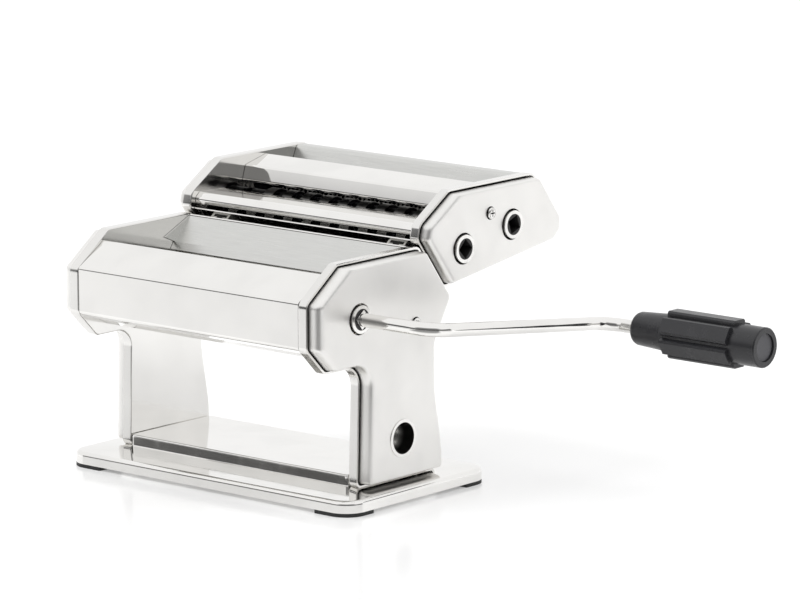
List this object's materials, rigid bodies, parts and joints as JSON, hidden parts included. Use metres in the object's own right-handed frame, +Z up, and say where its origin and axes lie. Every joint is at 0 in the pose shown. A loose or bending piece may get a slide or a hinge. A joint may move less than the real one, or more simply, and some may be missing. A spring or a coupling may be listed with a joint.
{
  "type": "pasta machine",
  "caption": "Hand cranked pasta machine in chromed sheet steel, with a feed hopper, adjustable smooth rollers and a clip-on head of cutting rollers.",
  "frame": {"origin": "centre of the whole footprint of the base on the table, at table level", "axes": "+X along the rollers toward the crank, +Y from the hopper toward the cutter head, +Z up"},
  "size_m": [0.3499, 0.2015, 0.1555],
  "materials": {
    "chromed_sheet": "polished chrome on drawn steel",
    "base_chrome": "polished chrome on drawn steel",
    "inner_plate": "bright chromed steel",
    "satin_sheet": "satin nickel on sheet steel",
    "roller": "ground and chromed steel",
    "cutter": "nickel plated steel",
    "zinc": "zinc plated steel",
    "gear": "hardened steel, oiled",
    "crank_steel": "chromed round bar",
    "knob_metal": "bright turned aluminium",
    "dial": "moulded nylon",
    "bush": "natural nylon",
    "scraper": "natural polymer strip",
    "grip": "satin moulded plastic",
    "grip_disc": "moulded plastic",
    "foot": "moulded rubber"
  },
  "bodies": {
    "housing": {"base_plate": "base_chrome", "rubber_feet": "foot", "base_screws": "zinc", "left_frame_plate": "inner_plate", "left_side_cover": "chromed_sheet", "right_frame_plate": "inner_plate", "right_side_cover": "chromed_sheet", "clamp_sleeve": "zinc", "tie_rods": "zinc", "tie_rod_nuts": "zinc", "cover_posts": "zinc", "cover_screws": "zinc", "front_panel": "chromed_sheet", "hopper_rear_plate": "satin_sheet", "rear_panel": "chromed_sheet", "front_scraper": "scraper", "drive_bushes": "bush", "sync_bushes": "bush", "index_plate": "dial", "mount_rails": "zinc"},
    "drive": {"drive_roller": "roller", "drive_gear": "gear"},
    "crank": {"crank_rod": "crank_steel", "grip_retaining_ring": "zinc"},
    "grip": {"crank_grip": "grip", "grip_end_disc": "grip_disc"},
    "carriage": {"bearing_blocks": "bush", "rear_scraper": "scraper"},
    "rear": {"rear_roller": "roller", "rear_roller_gear": "gear"},
    "regulator": {"regulator_shaft": "zinc", "regulator_gear": "gear", "knob_spring": "zinc"},
    "knob": {"regulator_knob": "knob_metal", "knob_cap": "knob_metal", "index_pin": "zinc"},
    "sync": {"sync_shaft": "zinc", "sync_gear": "gear", "gap_cams": "gear"},
    "cutter": {"left_cutter_plate": "inner_plate", "left_cutter_cover": "chromed_sheet", "right_cutter_plate": "inner_plate", "right_cutter_cover": "chromed_sheet", "cutter_front_guard": "chromed_sheet", "cutter_lower_panel": "chromed_sheet", "cutter_divider": "chromed_sheet", "cutter_rear_plate": "satin_sheet", "cutter_combs": "scraper", "cutter_tie_rods": "zinc", "cutter_cover_posts": "zinc", "cutter_cover_screws": "zinc", "rail_tongues": "zinc"},
    "wide_driven": {"wide_driven_roller": "cutter", "wide_driven_gear": "gear"},
    "wide_idler": {"wide_idler_roller": "cutter", "wide_idler_gear": "gear"},
    "narrow_driven": {"narrow_driven_roller": "cutter", "narrow_driven_gear": "gear"},
    "narrow_idler": {"narrow_idler_roller": "cutter", "narrow_idler_gear": "gear"}
  },
  "joints": [
    {"name": "drive_spin", "type": "hinge", "parent": "housing", "child": "drive", "pos_m": [0, -0.0363, 0.0998], "axis": [1, 0, 0], "continuous": true},
    {"name": "crank_pull", "type": "slide", "parent": "drive", "child": "crank", "axis": [1, 0, 0], "range_m": [0, 0.03]},
    {"name": "grip_spin", "type": "hinge", "parent": "crank", "child": "grip", "pos_m": [0.198, 0.1075, 0.0818], "axis": [1, 0, 0], "continuous": true},
    {"name": "gap_slide", "type": "slide", "parent": "housing", "child": "carriage", "axis": [0, -1, 0], "range_m": [0, 0.0042]},
    {"name": "rear_roller_spin", "type": "hinge", "parent": "carriage", "child": "rear", "pos_m": [0, -0.0078, 0.0998], "axis": [1, 0, 0], "continuous": true},
    {"name": "regulator_turn", "type": "hinge", "parent": "housing", "child": "regulator", "pos_m": [-0.09, -0.0218, 0.0896], "axis": [1, 0, 0], "range_deg": [-324, 0]},
    {"name": "knob_pull", "type": "slide", "parent": "regulator", "child": "knob", "axis": [-1, 0, 0], "range_m": [0, 0.0055], "stiffness_N_per_m": 1000, "springref_m": -0.002, "deforming": ["knob_spring"]},
    {"name": "sync_turn", "type": "hinge", "parent": "housing", "child": "sync", "pos_m": [0, 0.0095, 0.1035], "axis": [1, 0, 0], "range_deg": [0, 324]},
    {"name": "cutter_slide", "type": "slide", "parent": "housing", "child": "cutter", "axis": [0, -0.6, 0.8], "range_m": [0, 0.06]},
    {"name": "wide_spin", "type": "hinge", "parent": "cutter", "child": "wide_driven", "pos_m": [0, 0.0484, 0.1242], "axis": [1, 0, 0], "continuous": true},
    {"name": "wide_idler_spin", "type": "hinge", "parent": "cutter", "child": "wide_idler", "pos_m": [0, 0.06708, 0.12766], "axis": [1, 0, 0], "continuous": true},
    {"name": "narrow_spin", "type": "hinge", "parent": "cutter", "child": "narrow_driven", "pos_m": [0, 0.0884, 0.1316], "axis": [1, 0, 0], "continuous": true},
    {"name": "narrow_idler_spin", "type": "hinge", "parent": "cutter", "child": "narrow_idler", "pos_m": [0, 0.10512, 0.1347], "axis": [1, 0, 0], "continuous": true}
  ],
  "couplings": [
    {"joint": "rear_roller_spin", "follows": "drive_spin", "ratio": -1},
    {"joint": "regulator_turn", "follows": "gap_slide", "rad_per_m": -1346.4},
    {"joint": "sync_turn", "follows": "gap_slide", "rad_per_m": 1346.4},
    {"joint": "wide_idler_spin", "follows": "wide_spin", "ratio": -1},
    {"joint": "narrow_idler_spin", "follows": "narrow_spin", "ratio": -1}
  ]
}
